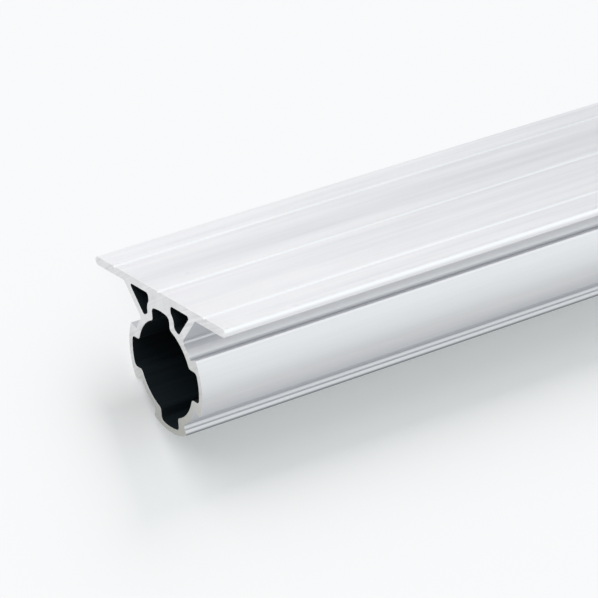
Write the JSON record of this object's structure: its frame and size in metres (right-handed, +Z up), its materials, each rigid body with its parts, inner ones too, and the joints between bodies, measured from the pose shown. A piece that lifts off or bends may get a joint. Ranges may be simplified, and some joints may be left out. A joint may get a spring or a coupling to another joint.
{
  "type": "flanged tube extrusion profile",
  "caption": "Straight length of extruded aluminium tube profile with raised lands, a slotted bore and a flat flange carried on two struts.",
  "frame": {"origin": "on the floor under the middle of the bar, below the centre of its box", "axes": "+Y along the bar, +Z up from the floor that it lies on, +X from the flange's edge on the floor towards the tube; the flange's top faces -X and up, turned 60.2 degrees about Y from level"},
  "size_m": [0.0408, 0.5, 0.0438],
  "materials": {
    "anodised_aluminium": "natural satin anodised"
  },
  "bodies": {
    "root": {"flanged_tube_profile": "anodised_aluminium"}
  },
  "joints": []
}
